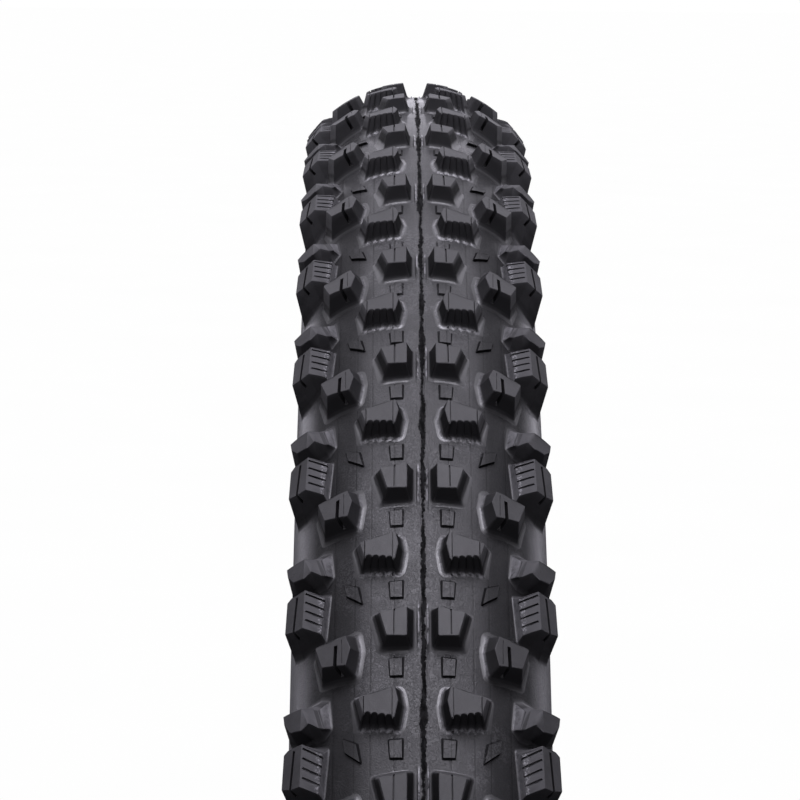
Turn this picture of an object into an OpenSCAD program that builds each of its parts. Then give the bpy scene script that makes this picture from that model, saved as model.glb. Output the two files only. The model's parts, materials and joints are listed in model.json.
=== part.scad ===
// Off-road bicycle tire, unmounted.
// The wheel axis is Y, +X is the way the wheel rolls, +Z is up, and the origin is the wheel centre.
// "Left" is +Y. Angles around the wheel count upwards from +X, so the tread is numbered by pitches.
// In a tread outline each point is [s, t]: s is the distance from the centre seam in mm, measured
// along the arc over the knob tops, and t counts pitches around the wheel.

/* [Overall size] */
// Diameter of the rim's bead seat
bead_seat_d = 622; // [507:1:630]
// Height of the section, from the bead seat to the centre knob tops
section_h = 62; // [61:0.5:64]
// Width of the casing at its widest
casing_w = 62; // [60:0.5:64]
// Height of the centre knobs over the tread base
crown_knob_h = 4.6; // [3.6:0.1:5]
// Radius of the arc across the knob tops
tread_arc_r = 39; // [38:0.5:42]

/* [Tread] */
// Number of times the pattern repeats around the wheel
pitch_count = 54; // [36:1:56]
// Teeth along the leading edge of a wide centre knob
tooth_count = 4; // [2:1:6]
// Depth of those teeth
tooth_depth = 0.7; // [0.3:0.1:1]
// Width of the slot in a transition knob
slot_w = 0.95; // [0.6:0.05:1.4]
// Depth of the slot in a transition knob
slot_depth = 3.4; // [1:0.1:4]
// Number of cross cuts in a shoulder block
rib_cut_count = 4; // [2:1:5]
// Width of a cross cut
rib_cut_w = 0.5; // [0.3:0.05:0.8]
// Depth of a cross cut
rib_cut_depth = 1; // [0.5:0.1:1.5]
// Width of the long cut in a shoulder block
long_cut_w = 0.8; // [0.5:0.05:1.2]
// Depth of the long cut in a shoulder block
long_cut_depth = 2; // [1:0.1:3]
// Relief of the low pads
pad_relief = 0.5; // [0.3:0.1:1]

/* [Layers] */
// Thickness of the tread cap
cap_t = 1; // [0.8:0.1:1.5]
// Thickness of the undertread
undertread_t = 0.7; // [0.4:0.1:1]
// Thickness of the puncture belt
belt_t = 0.5; // [0.3:0.05:0.8]
// Thickness of the sidewall rubber and of the chafer
sidewall_t = 0.6; // [0.5:0.05:0.8]
// Thickness of the sidewall guard
guard_t = 0.35; // [0.2:0.05:0.5]
// Thickness of one casing ply
ply_t = 0.5; // [0.4:0.05:0.6]
// Thickness of the airtight liner
liner_t = 0.3; // [0.2:0.05:0.5]

/* [Bead] */
// Distance from the wheel's middle to the outer face of a bead
bead_face_y = 15.05; // [14:0.05:16]
// Height of the upright outer face of a bead
bead_face_h = 5.8; // [5.5:0.1:6.5]
// Diameter of one bead wire strand
strand_d = 0.95; // [0.8:0.05:0.95]
// Width of the corner cut at the bead's toe
toe_cut = 0.6; // [0.4:0.1:0.8]

/* [Hidden] */

bead_r = bead_seat_d / 2;
tire_r = bead_r + section_h;
casing_r = casing_w / 2;
// Height of the casing circle's centre and of the knob-top arc's centre over the wheel axis
casing_c = tire_r - crown_knob_h - casing_r;
tread_c = tire_r - tread_arc_r;
pitch_a = 360 / pitch_count;
// Length of one pitch around the knob tops
pitch_len = tire_r * pitch_a * PI / 180;

// Stations along the outside of the section: 0 is the crown and 90 the widest point, in degrees
// of the casing circle. From 90 to 190 they run down a smooth curve to the bead's outer face.
station_step = 5;
widest_x = 90;
bead_x = 190;
belt_x = 50;
undertread_x = 60;
center_cap_x = 25;
cap_x = 70;
guard_x = 55;
turn_up_x = 150;
filler_x = 150;
chafer_x = 170;
// Length over which a layer thins out at its edge, in stations
edge_run = 15;

rubber = [0.16, 0.165, 0.175];
rubber_knob = [0.13, 0.135, 0.145];
rubber_hard = [0.1, 0.1, 0.11];
butyl = [0.2, 0.2, 0.21];
fabric_tan = [0.62, 0.55, 0.42];
fabric_grey = [0.42, 0.43, 0.45];
wire_bronze = [0.66, 0.55, 0.36];

// ---- Section curve ----

bead_top = bead_r + bead_face_h;
sidewall_pull = 12.4;
flange_pull = 5.7;
lower_curve = [
    [casing_c, casing_r],
    [casing_c - sidewall_pull, casing_r],
    [bead_top + flange_pull, bead_face_y],
    [bead_top, bead_face_y]
];

function bezier(p, u) = pow(1 - u, 3) * p[0] + 3 * u * pow(1 - u, 2) * p[1]
    + 3 * u * u * (1 - u) * p[2] + pow(u, 3) * p[3];
function bezier_slope(p, u) = 3 * pow(1 - u, 2) * (p[1] - p[0])
    + 6 * u * (1 - u) * (p[2] - p[1]) + 3 * u * u * (p[3] - p[2]);
function unit(v) = v / norm(v);
function lower_u(x) = (x - widest_x) / (bead_x - widest_x);
// Outer point and outward direction at a station, as [height over the axis, y]
function outer_point(x) = x <= widest_x
    ? [casing_c + casing_r * cos(x), casing_r * sin(x)]
    : bezier(lower_curve, lower_u(x));
function outward(x) = x <= widest_x
    ? [cos(x), sin(x)]
    : let (g = unit(bezier_slope(lower_curve, lower_u(x)))) [g[1], -g[0]];
function ramp(x, a, b) = min(1, max(0, (x - a) / (b - a)));

// ---- Layer depths below the outside of the section ----

// Distance between neighbouring strands in the bead's wire bundle, middle to middle
strand_spacing = 1;
filler_t = 3 * strand_spacing;
function skin(x) = cap_t + (sidewall_t - cap_t) * ramp(x, belt_x, cap_x);
function under_t(x) = undertread_t * (1 - ramp(x, undertread_x - edge_run, undertread_x));
function guard_here(x) = guard_t * ramp(x, guard_x, guard_x + edge_run)
    * (1 - ramp(x, turn_up_x - edge_run, turn_up_x));
function turn_up_here(x) = ply_t * ramp(x, turn_up_x, turn_up_x + edge_run);
function belt_here(x) = belt_t * (1 - ramp(x, belt_x - edge_run, belt_x));
function filler_here(x) = filler_t * ramp(x, filler_x, bead_x);
// Depths of the boundaries between layers, from the skin's inside to the liner's inside
function depths(x) = [
    skin(x), under_t(x), guard_here(x), turn_up_here(x), belt_here(x),
    ply_t, filler_here(x), ply_t, liner_t
];
function sum_to(v, k) = k < 0 ? 0 : v[k] + sum_to(v, k - 1);
function at_depth(x, k) = outer_point(x) - sum_to(depths(x), k) * outward(x);
OUTSIDE = -1;
SKIN = 0;
UNDERTREAD = 1;
GUARD = 2;
TURN_UP = 3;
BELT = 4;
PLY_OUTER = 5;
FILLER = 6;
PLY_INNER = 7;
LINER = 8;

function left_edge(k, a, b) = [for (x = [a:station_step:b]) at_depth(x, k)];
function reversed(v) = [for (i = [len(v) - 1:-1:0]) v[i]];
function mirrored(v) = [for (p = v) [p[0], -p[1]]];
function without_first(v) = [for (i = [1:len(v) - 1]) v[i]];
// The same boundary from -b over the crown to b
function full_edge(k, b) = concat(reversed(without_first(mirrored(left_edge(k, 0, b)))), left_edge(k, 0, b));
function strip_outline(outer_k, inner_k, a, b) =
    concat(left_edge(outer_k, a, b), reversed(left_edge(inner_k, a, b)));
function full_outline(outer_k, inner_k, b) =
    concat(full_edge(outer_k, b), reversed(full_edge(inner_k, b)));
// The tread caps' outside follows the casing circle in finer steps, because the knobs sit on it
cap_step = station_step / 2;
function cap_top(a, b) = [for (x = [a:cap_step:b]) outer_point(x)];
cap_top_half = cap_top(0, center_cap_x);
cap_top_full = concat(reversed(without_first(mirrored(cap_top_half))), cap_top_half);
// Drops the point that repeats where a layer starts or ends with no thickness
function no_repeats(v) = [for (i = [0:len(v) - 1]) if (norm(v[i] - v[(i + 1) % len(v)]) > 0.001) v[i]];

// ---- Bead curve: plies and chafer around the wire bundle ----

core_r = 1.5 * strand_spacing;
// How far the liner runs down past the bundle's middle
liner_end_drop = 0.3;
wrap_r = core_r + ply_t;
core_y = bead_face_y - sidewall_t - 2 * ply_t - core_r;
core_h = bead_r + sidewall_t + wrap_r;
liner_end_h = core_h - liner_end_drop;
wrap_step = 15;
// Angle 0 points out sideways, 90 towards the axis, 180 to the inside of the tire
function around_core(r, a) = [core_h - r * sin(a), core_y + r * cos(a)];
// The inner ply's inside leaves the bundle on the outer side, to pass over the outer ply's end
function wrap_inside(a) = core_r + ply_t * (1 - ramp(a, 0, 90));
wrap_inner_arc = [for (a = [0:wrap_step:180]) around_core(wrap_inside(a), a)];
wrap_outer_arc = [for (a = [0:wrap_step:180]) around_core(wrap_inside(a) + ply_t, a)];

function turned_ply_edge(outer_k, arc, inner_k) =
    concat(left_edge(outer_k, turn_up_x, bead_x), arc, reversed(left_edge(inner_k, 0, bead_x)));
inner_ply_outside = turned_ply_edge(GUARD, wrap_outer_arc, PLY_INNER);
inner_ply_inside = turned_ply_edge(TURN_UP, wrap_inner_arc, FILLER);
inner_ply_half = concat(inner_ply_outside, reversed(without_first(inner_ply_inside)));

outer_ply_tail = [for (a = [0:wrap_step:90]) around_core(wrap_inside(a), a)];
outer_ply_tail_inside = [for (a = [0:wrap_step:90 - wrap_step]) around_core(core_r, a)];
outer_ply_half = concat(
    left_edge(BELT, 0, bead_x), outer_ply_tail,
    reversed(outer_ply_tail_inside), reversed(left_edge(PLY_OUTER, 0, bead_x))
);

heel_r = 1;
heel = [for (a = [0:wrap_step:90]) [bead_r + heel_r - heel_r * sin(a), bead_face_y - heel_r + heel_r * cos(a)]];
liner_y = core_y - wrap_r - liner_t;
toe = [[bead_r, liner_y + toe_cut], [bead_r + 2 * toe_cut, liner_y], [liner_end_h, liner_y]];
chafer_outline = concat(
    left_edge(OUTSIDE, chafer_x, bead_x), heel, toe,
    [[liner_end_h, core_y - wrap_r]], reversed(wrap_outer_arc), reversed(left_edge(SKIN, chafer_x, bead_x))
);

// The part of a section curve on the inside of the bundle's middle, down to the liner's end
liner_half = concat(
    left_edge(PLY_INNER, 0, bead_x), [[liner_end_h, core_y - wrap_r], [liner_end_h, liner_y]],
    reversed(left_edge(LINER, 0, bead_x))
);

filler_outline = concat(
    left_edge(PLY_OUTER, filler_x, bead_x),
    [for (a = [0:-wrap_step:-180]) around_core(core_r, a)],
    reversed(left_edge(FILLER, filler_x, bead_x))
);

// ---- Shared solids ----

module to_right() {
    mirror([0, 1, 0]) children();
}

// A ring of revolution about the wheel axis, from an outline of [height over the axis, y]
module ring(outline) {
    rotate([-90, 0, 0]) rotate_extrude($fn = 180) polygon(no_repeats(outline));
}

module full_ring(half_outline) {
    ring(half_outline);
    to_right() ring(half_outline);
}

// Everything inside the smooth casing circle, used to seat the knobs on the tread base
module casing_body() {
    rotate([-90, 0, 0]) rotate_extrude($fn = 256) translate([casing_c, 0]) circle(r = casing_r, $fn = 256);
}

module all_around() {
    for (i = [0:pitch_count - 1]) rotate([0, -i * pitch_a, 0]) children();
}

module both_sides() {
    children();
    to_right() children();
}

// Puts a shape on the knob-top arc at [s, t]: its x runs away from the seam, y around the wheel
// and z outwards
module on_tread(at) {
    rotate([0, -at[1] * pitch_a, 0])
        translate([tread_c, 0, 0])
        rotate([0, 0, at[0] / tread_arc_r * 180 / PI])
        translate([tread_arc_r, 0, 0])
        rotate([90, 0, 90])
        children();
}

function middle(v) = [(min([for (p = v) p[0]]) + max([for (p = v) p[0]])) / 2,
    (min([for (p = v) p[1]]) + max([for (p = v) p[1]])) / 2];
function flat_around(v, at) = [for (p = v) [p[0] - at[0], (p[1] - at[1]) * pitch_len]];

// Reaches from the knob tops to below the tread base everywhere
root_depth = crown_knob_h + 6;

module outline_prism(outline, at) {
    translate([0, 0, -root_depth]) linear_extrude(root_depth) polygon(flat_around(outline, at));
}

// A straight cut into a knob's top, from one [s, t] to another, seen in the frame at `at`
module cut(from, to, at, width, depth) {
    ends = flat_around([from, to], at);
    run = ends[1] - ends[0];
    translate([ends[0][0], ends[0][1], -depth])
        rotate([0, 0, atan2(run[1], run[0])])
        translate([0, -width / 2, 0])
        cube([norm(run), width, depth + 1]);
}

// ---- Knobs ----

wide_front = [[6.5, 0], [13.9, 0.045]];
wide_rest = [[15.2, 0.15], [6.3, 0.192], [5.6, 0.105]];
// The leading edge of a wide knob runs in and out over its teeth
function toothed(a, b, n) = [for (i = [0:2 * n]) a + (b - a) * i / (2 * n)
    + [0, (i % 2 == 1 ? tooth_depth / pitch_len : 0)]];
wide_outline = concat(toothed(wide_front[0], wide_front[1], tooth_count), wide_rest);

narrow_outline = [[3.6, 0.495], [8.4, 0.505], [10.1, 0.664], [3.5, 0.682]];

transition_outline = [[24.6, 0.385], [26.8, 0.526], [18.2, 0.545], [17, 0.46], [18, 0.355]];
slot_from = [21.1, 0.505];
slot_to = [21.1, 0.3];

// The shoulder knobs have a flat ridge, an inner facet that falls towards the seam and an outer
// facet that falls towards the sidewall
ridge_s = [30.2, 33.8];
shoulder_s = [24.3, 37.9];
outer_facet_drop = 1.3;
// Reaches past the outline on both sides
section_margin = 1;
function ridged_section(inner_drop) = [
    [shoulder_s[0] - section_margin, -root_depth],
    [shoulder_s[0] - section_margin, -inner_drop],
    [shoulder_s[0], -inner_drop],
    [ridge_s[0], 0],
    [ridge_s[1], 0],
    [shoulder_s[1], -outer_facet_drop],
    [shoulder_s[1] + section_margin, -outer_facet_drop],
    [shoulder_s[1] + section_margin, -root_depth]
];

chevron_outline = [
    [24.3, 0.085], [29.6, 0.09], [31, 0.062], [36.2, 0.1],
    [37.8, 0.17], [37.8, 0.235], [30.6, 0.2], [25.3, 0.19]
];
chevron_inner_drop = 3.4;

block_outline = [
    [24.6, 0.665], [30.8, 0.708], [34, 0.72], [37.8, 0.765],
    [37.4, 0.985], [33, 0.985], [30.6, 0.98], [24.3, 0.9]
];
block_inner_drop = 2;
long_cut = [[34.3, 0.6], [33.1, 0.965]];
rib_cut_outer = [30.2, 0.955];
rib_cut_inner = [25, 0.905];
rib_cut_spacing = 0.06;

module seated() {
    difference() {
        children();
        casing_body();
    }
}

module plain_knob(outline) {
    at = middle(outline);
    seated() on_tread(at) outline_prism(outline, at);
}

// The part of an outline's prism that lies under a section drawn across the tread
module sectioned_prism(outline, section, at) {
    reach = pitch_len / 2;
    intersection() {
        outline_prism(outline, at);
        translate([0, reach, 0]) rotate([90, 0, 0]) linear_extrude(2 * reach)
            polygon([for (p = section) [p[0] - at[0], p[1]]]);
    }
}

module transition_knob() {
    at = middle(transition_outline);
    seated() on_tread(at) difference() {
        outline_prism(transition_outline, at);
        cut(slot_from, slot_to, at, slot_w, slot_depth);
    }
}

module chevron_knob() {
    at = middle(chevron_outline);
    seated() on_tread(at) sectioned_prism(chevron_outline, ridged_section(chevron_inner_drop), at);
}

module block_knob() {
    at = middle(block_outline);
    facet_a = atan2(block_inner_drop, ridge_s[0] - shoulder_s[0]);
    seated() on_tread(at) difference() {
        sectioned_prism(block_outline, ridged_section(block_inner_drop), at);
        cut(long_cut[0], long_cut[1], at, long_cut_w, long_cut_depth);
        // The cross cuts follow the slope of the inner facet
        translate([ridge_s[0] - at[0], 0, 0]) rotate([0, -facet_a, 0]) translate([at[0] - ridge_s[0], 0, 0])
            for (i = [0:rib_cut_count - 1]) {
                back = [0, i * rib_cut_spacing];
                cut(rib_cut_outer - back, rib_cut_inner - back, at, rib_cut_w, rib_cut_depth);
            }
    }
}

// ---- Low pads on the tread base ----

// Puts a shape on the casing circle, x away from the seam, y around the wheel and z outwards
module on_base(side_a, t) {
    rotate([0, -t * pitch_a, 0])
        translate([casing_c, 0, 0])
        rotate([0, 0, side_a])
        translate([casing_r, 0, 0])
        rotate([90, 0, 90])
        children();
}

// A pad's flat underside sinks this far at its middle, so that its corners touch the round base
pad_root = 0.05;
center_pad_a = 11.3;
center_pad_ts = [0.363, 0.866];
center_pad = [[-1.5, -2.4], [1.3, -2.1], [1.7, 2.4], [-1.5, 2.4]];
side_pad_a = 31;
side_pad_t = 0.9;
side_pad = [[-2.6, -3.8], [1.8, -0.2], [2.4, 3.8], [-1.3, 1.4]];

module pad(outline, side_a, t) {
    on_base(side_a, t) translate([0, 0, -pad_root])
        linear_extrude(pad_root + pad_relief) polygon(outline);
}

// ---- Nodes ----

module inner_liner() {
    color(butyl) full_ring(liner_half);
}

module carcass_ply_inner() {
    color(fabric_tan) full_ring(inner_ply_half);
}

module carcass_ply_outer() {
    color(fabric_tan) full_ring(outer_ply_half);
}

module strand(at) {
    rotate_extrude($fn = 180) translate(at) circle(d = strand_d, $fn = 24);
}

// Seven strands side by side: one in the middle and six around it
module bead_core_left() {
    color(wire_bronze) rotate([-90, 0, 0]) {
        strand([core_h, core_y]);
        for (i = [0:5]) strand([core_h, core_y] + strand_spacing * [cos(60 * i), sin(60 * i)]);
    }
}

module bead_core_right() {
    to_right() bead_core_left();
}

module bead_filler_left() {
    color(rubber_hard) ring(filler_outline);
}

module bead_filler_right() {
    to_right() bead_filler_left();
}

module chafer_left() {
    color(rubber_hard) ring(chafer_outline);
}

module chafer_right() {
    to_right() chafer_left();
}

module puncture_belt() {
    color(fabric_grey) ring(full_outline(TURN_UP, BELT, belt_x));
}

module sidewall_guard_left() {
    color(fabric_grey) ring(strip_outline(UNDERTREAD, GUARD, guard_x, turn_up_x));
}

module sidewall_guard_right() {
    to_right() sidewall_guard_left();
}

module sidewall_left() {
    color(rubber) ring(strip_outline(OUTSIDE, SKIN, cap_x, chafer_x));
}

module sidewall_right() {
    to_right() sidewall_left();
}

module undertread() {
    color(rubber_hard) ring(full_outline(SKIN, UNDERTREAD, undertread_x));
}

module tread_center_cap() {
    color(rubber) ring(concat(cap_top_full, reversed(full_edge(SKIN, center_cap_x))));
}

module tread_shoulder_cap_left() {
    color(rubber) ring(concat(cap_top(center_cap_x, cap_x), reversed(left_edge(SKIN, center_cap_x, cap_x))));
}

module tread_shoulder_cap_right() {
    to_right() tread_shoulder_cap_left();
}

module center_wide_knobs() {
    color(rubber_knob) all_around() both_sides() plain_knob(wide_outline);
}

module center_narrow_knobs() {
    color(rubber_knob) all_around() both_sides() plain_knob(narrow_outline);
}

module transition_knobs_left() {
    color(rubber_knob) all_around() transition_knob();
}

module transition_knobs_right() {
    to_right() transition_knobs_left();
}

module shoulder_chevron_knobs_left() {
    color(rubber_knob) all_around() chevron_knob();
}

module shoulder_chevron_knobs_right() {
    to_right() shoulder_chevron_knobs_left();
}

module shoulder_block_knobs_left() {
    color(rubber_knob) all_around() block_knob();
}

module shoulder_block_knobs_right() {
    to_right() shoulder_block_knobs_left();
}

module center_pads() {
    color(rubber) all_around() both_sides() for (t = center_pad_ts) pad(center_pad, center_pad_a, t);
}

module side_pads_left() {
    color(rubber) all_around() pad(side_pad, side_pad_a, side_pad_t);
}

module side_pads_right() {
    to_right() side_pads_left();
}

inner_liner();
carcass_ply_inner();
carcass_ply_outer();
bead_core_left();
bead_core_right();
bead_filler_left();
bead_filler_right();
chafer_left();
chafer_right();
puncture_belt();
sidewall_guard_left();
sidewall_guard_right();
sidewall_left();
sidewall_right();
undertread();
tread_center_cap();
tread_shoulder_cap_left();
tread_shoulder_cap_right();
center_wide_knobs();
center_narrow_knobs();
transition_knobs_left();
transition_knobs_right();
shoulder_chevron_knobs_left();
shoulder_chevron_knobs_right();
shoulder_block_knobs_left();
shoulder_block_knobs_right();
center_pads();
side_pads_left();
side_pads_right();
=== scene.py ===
import json
import math

import bpy
import numpy as np
from mathutils import Matrix, Vector


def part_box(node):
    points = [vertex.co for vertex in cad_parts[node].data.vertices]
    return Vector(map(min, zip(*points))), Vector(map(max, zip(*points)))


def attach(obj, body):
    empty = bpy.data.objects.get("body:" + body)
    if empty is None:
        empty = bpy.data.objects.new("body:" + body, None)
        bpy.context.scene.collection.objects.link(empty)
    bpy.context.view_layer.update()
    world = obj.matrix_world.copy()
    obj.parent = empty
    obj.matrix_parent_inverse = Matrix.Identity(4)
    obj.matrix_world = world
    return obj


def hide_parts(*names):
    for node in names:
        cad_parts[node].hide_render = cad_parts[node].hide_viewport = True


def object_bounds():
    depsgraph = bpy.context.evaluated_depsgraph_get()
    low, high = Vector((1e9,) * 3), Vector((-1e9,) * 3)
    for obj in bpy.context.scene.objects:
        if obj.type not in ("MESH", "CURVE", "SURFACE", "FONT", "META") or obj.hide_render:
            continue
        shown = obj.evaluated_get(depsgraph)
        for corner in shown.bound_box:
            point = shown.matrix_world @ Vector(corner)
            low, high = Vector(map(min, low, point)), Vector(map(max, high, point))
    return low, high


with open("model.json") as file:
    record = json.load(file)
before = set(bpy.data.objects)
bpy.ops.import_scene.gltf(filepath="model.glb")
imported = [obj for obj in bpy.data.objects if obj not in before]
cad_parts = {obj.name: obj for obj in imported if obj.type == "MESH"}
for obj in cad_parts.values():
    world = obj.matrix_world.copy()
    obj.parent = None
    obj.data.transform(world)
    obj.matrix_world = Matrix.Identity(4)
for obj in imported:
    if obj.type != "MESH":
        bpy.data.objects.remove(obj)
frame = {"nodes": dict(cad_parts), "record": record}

CAD_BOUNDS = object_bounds()
BODY = "root"

# ---- Sizes in millimetres, read from the frame where it states them ----

MM = 0.001
BEAD_R = next(m["dims"]["r_mm"] for m in frame["record"]["mounts"] if m["name"] == "bead_seat_left")
CASING_R = round(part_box("sidewall_left")[1].y / MM, 1)
BASE_TOP = round(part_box("tread_center_cap")[1].z / MM, 1)
CASING_C = BASE_TOP - CASING_R
TIRE_R = round(CAD_BOUNDS[1][2] / MM, 1)
TREAD_ARC = 39.0
TREAD_C = TIRE_R - TREAD_ARC
PITCHES = 54
PITCH = 2 * math.pi / PITCHES
TOP_PITCH = TIRE_R * PITCH
# How far below the crown the feet lie on average, which only sets the scale of their roundings
MEAN_FOOT_DROP = 4
BASE_PITCH = (BASE_TOP - MEAN_FOOT_DROP) * PITCH
BEAD_FACE_Y = 15.05
BEAD_FACE_H = 5.8
CAP_T = 1.0
SIDE_T = 0.6
LINER_T = 0.3

# Stations of the section, in degrees up to the widest point and then in hundredths of the lower curve
CENTRE_CAP_END = 25
TREAD_EDGE = 70
WIDEST = 90
CHAFER_TOP = 170
BEAD_TOP = 190


# ---- Surfaces ----

def ring_point(r, y, turn):
    """Points at radius r, lateral y and turn in pitches."""
    a = turn * PITCH
    return np.stack([r * np.cos(a), y, r * np.sin(a)], -1)


def on_tread(p):
    """p holds distance from the seam along the knob-top arc, distance around the wheel, and height over
    the arc."""
    a = p[:, 0] / TREAD_ARC
    q = TREAD_ARC + p[:, 2]
    return ring_point(TREAD_C + q * np.cos(a), q * np.sin(a), p[:, 1] / TOP_PITCH)


def on_base(p):
    """p holds distance from the seam along the casing circle, distance around the wheel, and height over
    the circle."""
    a = p[:, 0] / CASING_R
    q = CASING_R + p[:, 2]
    return ring_point(CASING_C + q * np.cos(a), q * np.sin(a), p[:, 1] / BASE_PITCH)


def tread(s, turn, height=0.0):
    """A point for on_tread: distance from the seam, turn in pitches and height."""
    return (s, turn * TOP_PITCH, height)


def base(station, turn, third):
    """A point for on_base: station, turn in pitches, and a height or a fillet's width."""
    return (math.radians(station) * CASING_R, turn * BASE_PITCH, third)


def station_at(y):
    """The station of a lateral distance on the casing circle."""
    return math.degrees(math.asin(y / CASING_R))


# ---- How a block is moulded, in millimetres or as a share ----

ARC_CUTS = 4
SHARPEST_TAN = 0.05
CORNER_SHARE = 0.4
FILLET_RISE = 1.1
FILLET_SHARE = 0.45
FILLET_STEPS = (0.2, 0.4, 0.6, 0.8, 1.0)
FOOT_SINK = 0.03
SKIRT_SINK = 0.6
ROOT_TEETH = 0.85
CUTTER_ABOVE = 0.7


def unit(v):
    return v / np.maximum(np.linalg.norm(v, axis=-1, keepdims=True), 1e-9)


def rounded_loop(corners, radius, edge_cuts):
    """A closed loop through the corners, each rounded in its first two numbers. It also gives the index of
    each corner's middle, and the first and last index inside each edge."""
    c = np.array(corners, float)
    n = len(c)
    u = np.linspace(0, 1, ARC_CUTS + 1)[:, None]
    arcs = []
    for i in range(n):
        here = c[i]
        a, b = c[i - 1] - here, c[(i + 1) % n] - here
        la, lb = np.linalg.norm(a[:2]), np.linalg.norm(b[:2])
        half = math.acos(np.clip(np.dot(a[:2], b[:2]) / (la * lb), -1, 1)) / 2
        cut = min(radius / max(math.tan(half), SHARPEST_TAN), CORNER_SHARE * la, CORNER_SHARE * lb)
        start, end = here + a * cut / la, here + b * cut / lb
        arcs.append((1 - u) ** 2 * start + 2 * u * (1 - u) * here + u * u * end)
    points, middles, spans = [], [], []
    count = 0
    for i in range(n):
        middles.append(count + ARC_CUTS // 2)
        start, end = arcs[i][-1], arcs[(i + 1) % n][0]
        share = (np.arange(1, edge_cuts[i]) / edge_cuts[i])[:, None]
        points += [arcs[i], start + (end - start) * share]
        count += ARC_CUTS + edge_cuts[i]
        spans.append((count - edge_cuts[i] + 1, count))
    return np.vstack(points), middles, spans


def moved(loop, amount):
    """The loop moved outward in its first two numbers."""
    d = np.roll(loop[:, :2], -1, 0) - np.roll(loop[:, :2], 1, 0)
    out = loop.copy()
    out[:, :2] += unit(np.stack([d[:, 1], -d[:, 0]], -1)) * np.reshape(amount, (-1, 1))
    return out


def toothed(edge, root, span, teeth, depth):
    """Presses round teeth into the wall under one edge."""
    first, last = span
    u = np.linspace(0, 1, last - first + 2)[1:-1]
    inward = np.zeros(len(edge))
    inward[first:last] = depth * np.sqrt(np.abs(np.sin(math.pi * teeth * u)))
    return moved(edge, -inward), moved(root, -ROOT_TEETH * inward)


def block_rings(edge, root, bevel, on_top, walls):
    """Rings of points from the bevelled top edge down the walls, through the fillet and into the casing."""
    lowered = edge.copy()
    lowered[:, 2] -= bevel
    width = root[:, 2].copy()
    corner = root.copy()
    corner[:, 2] = 0
    out = moved(corner, width)
    rim, corner = on_top(lowered), on_base(corner)
    tall = np.linalg.norm(rim - corner, axis=1)
    rise = np.minimum(width * FILLET_RISE, FILLET_SHARE * tall)
    full = 1 - (rise / tall)[:, None]
    rings = [on_top(moved(edge, -bevel)), rim]
    rings += [rim + (corner - rim) * full * k / walls for k in range(1, walls + 1)]
    start = rings[-1]
    out[:, 2] = -FOOT_SINK
    end = on_base(out)
    rings += [(1 - u) ** 2 * start + 2 * u * (1 - u) * corner + u * u * end for u in FILLET_STEPS]
    out[:, 2] = -SKIRT_SINK
    return rings + [on_base(out)]


def facet_loop(facet, corners, middles, n, first_extra):
    """The points around one top facet. Corner numbers past the last corner are the extra points."""
    loop = []
    for a, b in zip(facet, facet[1:] + facet[:1]):
        if a >= corners:
            loop.append(first_extra + a - corners)
        elif b == (a + 1) % corners:
            stop = middles[b] if middles[b] > middles[a] else middles[b] + n
            loop += [k % n for k in range(middles[a], stop)]
        else:
            loop.append(middles[a])
    return loop


def knob(top, foot, edge_cuts, facets=None, extra=(), radius=0.45, foot_radius=0.9, bevel=0.16,
         teeth=None, on_top=on_tread, walls=3):
    """A closed moulded block: a faceted top, slanted walls and a hollow fillet that runs out on the casing.
    top holds tread() corners and foot base() corners with the fillet's width; both run the same way round.
    teeth holds an edge's number, the number of teeth and their depth."""
    edge, middles, spans = rounded_loop(top, radius, edge_cuts)
    root, _, _ = rounded_loop(foot, foot_radius, edge_cuts)
    if teeth:
        edge, root = toothed(edge, root, spans[teeth[0]], *teeth[1:])
    rings = block_rings(edge, root, bevel, on_top, walls)
    n = len(edge)
    i = np.arange(n)
    j = (i + 1) % n
    faces = []
    for k in range(len(rings) - 1):
        a, b = k * n, (k + 1) * n
        faces += np.stack([a + i, b + i, b + j, a + j], 1).tolist()
    faces.append(((len(rings) - 1) * n + i[::-1]).tolist())
    verts = np.vstack(rings)
    corners = len(top)
    for facet in facets or [list(range(corners))]:
        faces.append(facet_loop(facet, corners, middles, n, len(verts)))
    if len(extra):
        verts = np.vstack([verts, on_top(np.array(extra, float))])
    return verts, faces


def bar(a, b, width, depth, up=None):
    """A straight cutter whose middle runs from a to b, which are tread() points: width across, depth down."""
    ends = np.array([a, b], float)
    p = on_tread(ends)
    if up is None:
        up = (on_tread(ends + [0, 0, 1.0]) - p).mean(0)
    up = unit(up)
    side = unit(np.cross(up, unit(p[1] - p[0]))) * width / 2
    verts = [q + up * h + s for q in p for h in (CUTTER_ABOVE, -depth) for s in (side, -side)]
    faces = [[0, 2, 3, 1], [4, 5, 7, 6], [0, 1, 5, 4], [2, 6, 7, 3], [0, 4, 6, 2], [1, 3, 7, 5]]
    return np.array(verts), faces


# ---- Meshes ----

def flattened(faces):
    """The faces' point numbers in one row, and each face's number of points."""
    return np.concatenate([np.asarray(f) for f in faces]), np.array([len(f) for f in faces])


def filled_mesh(name, verts, flat, sizes):
    me = bpy.data.meshes.new(name)
    me.vertices.add(len(verts))
    me.vertices.foreach_set("co", np.ascontiguousarray(verts, np.float32).ravel())
    me.loops.add(len(flat))
    me.loops.foreach_set("vertex_index", np.asarray(flat, np.int32))
    me.polygons.add(len(sizes))
    starts = np.concatenate([[0], np.cumsum(sizes)[:-1]])
    me.polygons.foreach_set("loop_start", starts.astype(np.int32))
    me.update(calc_edges=True)
    me.validate()
    return me


def placed(name, data):
    """A new object in the scene."""
    ob = bpy.data.objects.new(name, data)
    bpy.context.scene.collection.objects.link(ob)
    return ob


def joined(parts):
    verts, faces, count = [], [], 0
    for v, f in parts:
        verts.append(v)
        faces += [[k + count for k in face] for face in f]
        count += len(v)
    return np.vstack(verts), faces


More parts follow.
